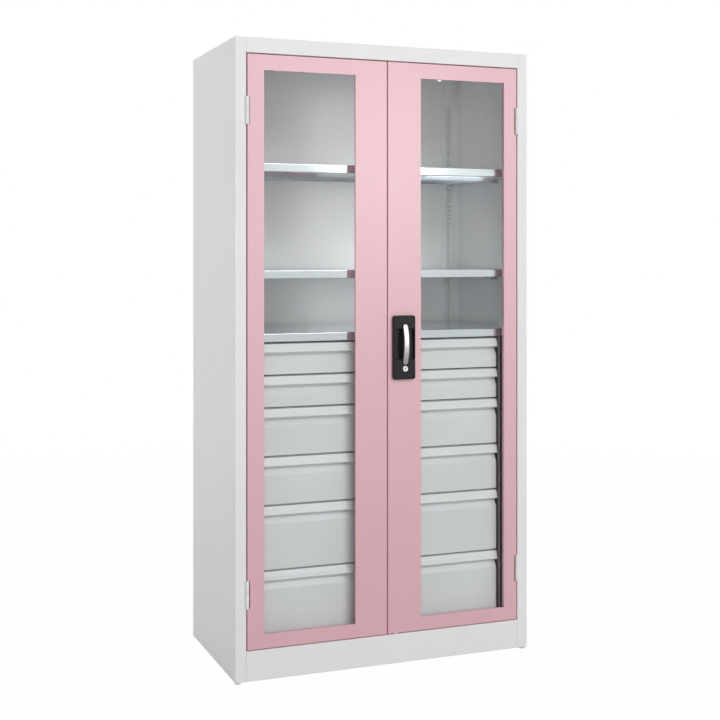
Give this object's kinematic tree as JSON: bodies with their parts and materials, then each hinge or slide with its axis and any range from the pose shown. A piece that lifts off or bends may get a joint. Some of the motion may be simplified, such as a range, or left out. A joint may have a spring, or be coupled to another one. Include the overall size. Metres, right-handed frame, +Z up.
{
  "type": "heavy-duty cabinet",
  "caption": "Tall steel tool cabinet with glazed double doors, shelves above a bank of drawers, a bow handle with lock, and lock rods to top and bottom.",
  "frame": {"origin": "centre of the overall box on the floor, under the feet", "axes": "+Z up, +X to the right as seen from the front, -Y out of the doors towards the user"},
  "size_m": [1, 0.534, 1.956],
  "materials": {
    "carcass_paint": "light grey powder coat, semi-matt",
    "door_paint": "pale pink powder coat, semi-matt",
    "drawer_paint": "light grey powder coat, satin",
    "galvanised": "bright galvanised sheet",
    "zinc_hardware": "zinc-plated steel",
    "black_plastic": "fine grained black plastic",
    "chrome": "satin chrome",
    "clear_acrylic": "clear acrylic sheet",
    "foot_plastic": "light grey plastic"
  },
  "bodies": {
    "cabinet": {"side_panel_left": "carcass_paint", "side_panel_right": "carcass_paint", "top_panel": "carcass_paint", "plinth_front": "carcass_paint", "bottom_panel": "carcass_paint", "back_panel": "carcass_paint", "support_strip_rear_left": "carcass_paint", "support_strip_rear_right": "carcass_paint", "support_strip_front_left": "carcass_paint", "support_strip_front_right": "carcass_paint", "hinge_frame_halves": "carcass_paint", "shelf_lower": "galvanised", "shelf_middle": "galvanised", "shelf_upper": "galvanised", "drawer_frame_left": "galvanised", "drawer_frame_right": "galvanised", "shelf_brackets": "zinc_hardware", "foot_plates": "zinc_hardware", "drawer_rails_left": "zinc_hardware", "drawer_rails_right": "zinc_hardware", "hinge_pins": "zinc_hardware", "levelling_feet": "foot_plastic"},
    "right_door": {"door_panel_right": "door_paint", "window_pane_right": "clear_acrylic", "pane_frame_right": "door_paint", "hinge_door_halves_right": "carcass_paint", "handle_plate": "black_plastic", "lock_case": "zinc_hardware", "rod_guides": "foot_plastic", "lock_cylinder": "chrome"},
    "left_door": {"door_panel_left": "door_paint", "window_pane_left": "clear_acrylic", "pane_frame_left": "door_paint", "hinge_door_halves_left": "carcass_paint"},
    "handle": {"handle_bow": "chrome", "handle_spindle": "zinc_hardware", "drive_pinion": "zinc_hardware", "latch_tongue": "zinc_hardware"},
    "upper_rod": {"upper_lock_rod": "zinc_hardware"},
    "lower_rod": {"lower_lock_rod": "zinc_hardware"},
    "lock_plug_body": {"lock_plug": "chrome"},
    "drawer_1": {"drawer_1_front": "drawer_paint", "drawer_1_tray": "drawer_paint", "drawer_1_runners": "zinc_hardware"},
    "drawer_2": {"drawer_2_front": "drawer_paint", "drawer_2_tray": "drawer_paint", "drawer_2_runners": "zinc_hardware"},
    "drawer_3": {"drawer_3_front": "drawer_paint", "drawer_3_tray": "drawer_paint", "drawer_3_runners": "zinc_hardware"},
    "drawer_4": {"drawer_4_front": "drawer_paint", "drawer_4_tray": "drawer_paint", "drawer_4_runners": "zinc_hardware"},
    "drawer_5": {"drawer_5_front": "drawer_paint", "drawer_5_tray": "drawer_paint", "drawer_5_runners": "zinc_hardware"},
    "drawer_6": {"drawer_6_front": "drawer_paint", "drawer_6_tray": "drawer_paint", "drawer_6_runners": "zinc_hardware"}
  },
  "joints": [
    {"name": "right_door_hinge", "type": "hinge", "parent": "cabinet", "child": "right_door", "pos_m": [0.463, -0.234, 0], "axis": [0, 0, 1], "range_deg": [0, 180]},
    {"name": "left_door_hinge", "type": "hinge", "parent": "cabinet", "child": "left_door", "pos_m": [-0.463, -0.234, 0], "axis": [0, 0, -1], "range_deg": [0, 180]},
    {"name": "handle_turn", "type": "hinge", "parent": "right_door", "child": "handle", "pos_m": [0.053, -0.233, 1.07], "axis": [0, -1, 0], "range_deg": [0, 90]},
    {"name": "upper_rod_slide", "type": "slide", "parent": "right_door", "child": "upper_rod", "axis": [0, 0, 1], "range_m": [0, 0.01885]},
    {"name": "lower_rod_slide", "type": "slide", "parent": "right_door", "child": "lower_rod", "axis": [0, 0, -1], "range_m": [0, 0.01885]},
    {"name": "lock_plug_turn", "type": "hinge", "parent": "right_door", "child": "lock_plug_body", "pos_m": [0.055, -0.233, 0.937], "axis": [0, -1, 0], "range_deg": [0, 90]},
    {"name": "drawer_1_slide", "type": "slide", "parent": "cabinet", "child": "drawer_1", "axis": [0, -1, 0], "range_m": [0, 0.2514]},
    {"name": "drawer_2_slide", "type": "slide", "parent": "cabinet", "child": "drawer_2", "axis": [0, -1, 0], "range_m": [0, 0.2514]},
    {"name": "drawer_3_slide", "type": "slide", "parent": "cabinet", "child": "drawer_3", "axis": [0, -1, 0], "range_m": [0, 0.2514]},
    {"name": "drawer_4_slide", "type": "slide", "parent": "cabinet", "child": "drawer_4", "axis": [0, -1, 0], "range_m": [0, 0.2514]},
    {"name": "drawer_5_slide", "type": "slide", "parent": "cabinet", "child": "drawer_5", "axis": [0, -1, 0], "range_m": [0, 0.2514]},
    {"name": "drawer_6_slide", "type": "slide", "parent": "cabinet", "child": "drawer_6", "axis": [0, -1, 0], "range_m": [0, 0.2514]}
  ],
  "couplings": [
    {"joint": "left_door_hinge", "follows": "right_door_hinge", "ratio": 1},
    {"joint": "upper_rod_slide", "follows": "handle_turn", "m_per_rad": 0.012},
    {"joint": "lower_rod_slide", "follows": "handle_turn", "m_per_rad": 0.012},
    {"joint": "drawer_1_slide", "follows": "right_door_hinge", "m_per_rad": 0.08},
    {"joint": "drawer_2_slide", "follows": "right_door_hinge", "m_per_rad": 0.08},
    {"joint": "drawer_3_slide", "follows": "right_door_hinge", "m_per_rad": 0.08},
    {"joint": "drawer_4_slide", "follows": "right_door_hinge", "m_per_rad": 0.08},
    {"joint": "drawer_5_slide", "follows": "right_door_hinge", "m_per_rad": 0.08},
    {"joint": "drawer_6_slide", "follows": "right_door_hinge", "m_per_rad": 0.08}
  ]
}
